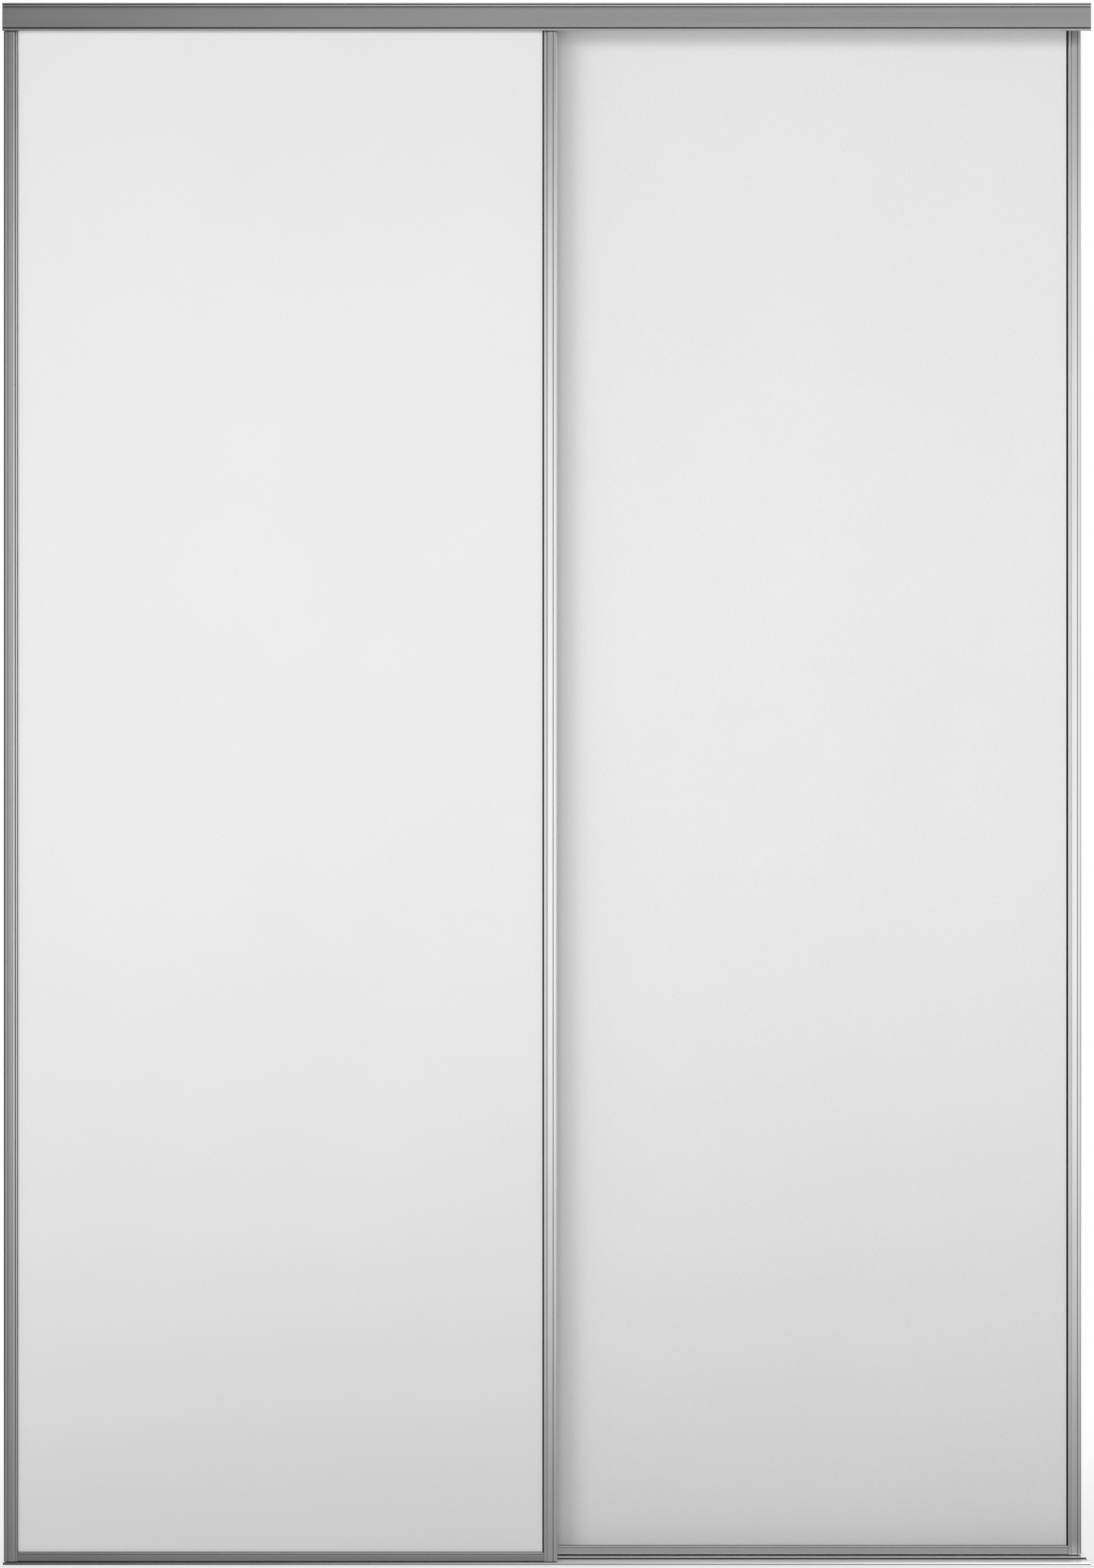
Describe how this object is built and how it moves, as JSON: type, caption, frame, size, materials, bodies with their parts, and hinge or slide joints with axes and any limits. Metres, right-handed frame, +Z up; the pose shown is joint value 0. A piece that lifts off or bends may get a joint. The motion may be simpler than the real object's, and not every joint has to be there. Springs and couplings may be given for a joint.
{
  "type": "sliding wardrobe doors",
  "caption": "Pair of framed white sliding wardrobe doors, one behind the other, rolling in a double floor track and guided in a double ceiling track with a front cover.",
  "frame": {"origin": "on the floor under the floor track, at the middle of the opening's width and of the ceiling track's depth", "axes": "+X to the right along the tracks seen from the front, +Y from the doors' fronts to the back, +Z up"},
  "size_m": [1.742, 0.078, 2.5],
  "materials": {
    "track_metal": "satin anodised",
    "sill_metal": "satin anodised",
    "frame_metal": "satin anodised",
    "board": "white faced board, satin",
    "seal": "matt soft seal",
    "buffer": "matt soft strip",
    "carrier": "moulded, matt",
    "wheel": "moulded, smooth",
    "steel": "zinc plated",
    "pad": "matt"
  },
  "bodies": {
    "tracks": {"top_track": "track_metal", "bottom_track": "sill_metal", "front_stops": "carrier", "rear_stops": "carrier", "stop_pads": "pad", "stop_screws": "steel"},
    "front_door": {"front_panel": "board", "front_panel_seal": "seal", "front_stile_left": "frame_metal", "front_stile_right": "frame_metal", "front_buffer_left": "buffer", "front_buffer_right": "buffer", "front_top_rail": "frame_metal", "front_bottom_rail": "frame_metal", "front_corner_screws": "steel", "front_adjusters": "steel", "front_carrier_left": "carrier", "front_carrier_right": "carrier", "front_carrier_pins": "steel", "front_axles": "steel", "front_guide_block_left": "carrier", "front_guide_block_right": "carrier", "front_guide_rivets": "steel", "front_guide_pins": "steel"},
    "front_wheel_left_set": {"front_wheel_left": "wheel", "front_bearing_left": "steel"},
    "front_roller_left_set": {"front_roller_left": "wheel"},
    "front_wheel_right_set": {"front_wheel_right": "wheel", "front_bearing_right": "steel"},
    "front_roller_right_set": {"front_roller_right": "wheel"},
    "rear_door": {"rear_panel": "board", "rear_panel_seal": "seal", "rear_stile_left": "frame_metal", "rear_stile_right": "frame_metal", "rear_buffer_left": "buffer", "rear_buffer_right": "buffer", "rear_top_rail": "frame_metal", "rear_bottom_rail": "frame_metal", "rear_corner_screws": "steel", "rear_adjusters": "steel", "rear_carrier_left": "carrier", "rear_carrier_right": "carrier", "rear_carrier_pins": "steel", "rear_axles": "steel", "rear_guide_block_left": "carrier", "rear_guide_block_right": "carrier", "rear_guide_rivets": "steel", "rear_guide_pins": "steel"},
    "rear_wheel_left_set": {"rear_wheel_left": "wheel", "rear_bearing_left": "steel"},
    "rear_roller_left_set": {"rear_roller_left": "wheel"},
    "rear_wheel_right_set": {"rear_wheel_right": "wheel", "rear_bearing_right": "steel"},
    "rear_roller_right_set": {"rear_roller_right": "wheel"}
  },
  "joints": [
    {"name": "front_door_slide", "type": "slide", "parent": "tracks", "child": "front_door", "axis": [1, 0, 0], "range_m": [0, 0.85325]},
    {"name": "front_wheel_left_spin", "type": "hinge", "parent": "front_door", "child": "front_wheel_left_set", "pos_m": [-0.8195, -0.0114, 0.0136], "axis": [0, 1, 0], "continuous": true},
    {"name": "front_roller_left_spin", "type": "hinge", "parent": "front_door", "child": "front_roller_left_set", "pos_m": [-0.8195, -0.0114, 2.4925], "axis": [0, 0, 1], "continuous": true},
    {"name": "front_wheel_right_spin", "type": "hinge", "parent": "front_door", "child": "front_wheel_right_set", "pos_m": [-0.03375, -0.0114, 0.0136], "axis": [0, 1, 0], "continuous": true},
    {"name": "front_roller_right_spin", "type": "hinge", "parent": "front_door", "child": "front_roller_right_set", "pos_m": [-0.03375, -0.0114, 2.4925], "axis": [0, 0, 1], "continuous": true},
    {"name": "rear_door_slide", "type": "slide", "parent": "tracks", "child": "rear_door", "axis": [1, 0, 0], "range_m": [-0.84875, 0.0045]},
    {"name": "rear_wheel_left_spin", "type": "hinge", "parent": "rear_door", "child": "rear_wheel_left_set", "pos_m": [0.02925, 0.0256, 0.0136], "axis": [0, 1, 0], "continuous": true},
    {"name": "rear_roller_left_spin", "type": "hinge", "parent": "rear_door", "child": "rear_roller_left_set", "pos_m": [0.02925, 0.0256, 2.4925], "axis": [0, 0, 1], "continuous": true},
    {"name": "rear_wheel_right_spin", "type": "hinge", "parent": "rear_door", "child": "rear_wheel_right_set", "pos_m": [0.815, 0.0256, 0.0136], "axis": [0, 1, 0], "continuous": true},
    {"name": "rear_roller_right_spin", "type": "hinge", "parent": "rear_door", "child": "rear_roller_right_set", "pos_m": [0.815, 0.0256, 2.4925], "axis": [0, 0, 1], "continuous": true}
  ],
  "couplings": [
    {"joint": "front_wheel_left_spin", "follows": "front_door_slide", "rad_per_m": 83.333},
    {"joint": "front_roller_left_spin", "follows": "front_door_slide", "rad_per_m": -125},
    {"joint": "front_wheel_right_spin", "follows": "front_door_slide", "rad_per_m": 83.333},
    {"joint": "front_roller_right_spin", "follows": "front_door_slide", "rad_per_m": -125},
    {"joint": "rear_wheel_left_spin", "follows": "rear_door_slide", "rad_per_m": 83.333},
    {"joint": "rear_roller_left_spin", "follows": "rear_door_slide", "rad_per_m": -125},
    {"joint": "rear_wheel_right_spin", "follows": "rear_door_slide", "rad_per_m": 83.333},
    {"joint": "rear_roller_right_spin", "follows": "rear_door_slide", "rad_per_m": -125}
  ]
}
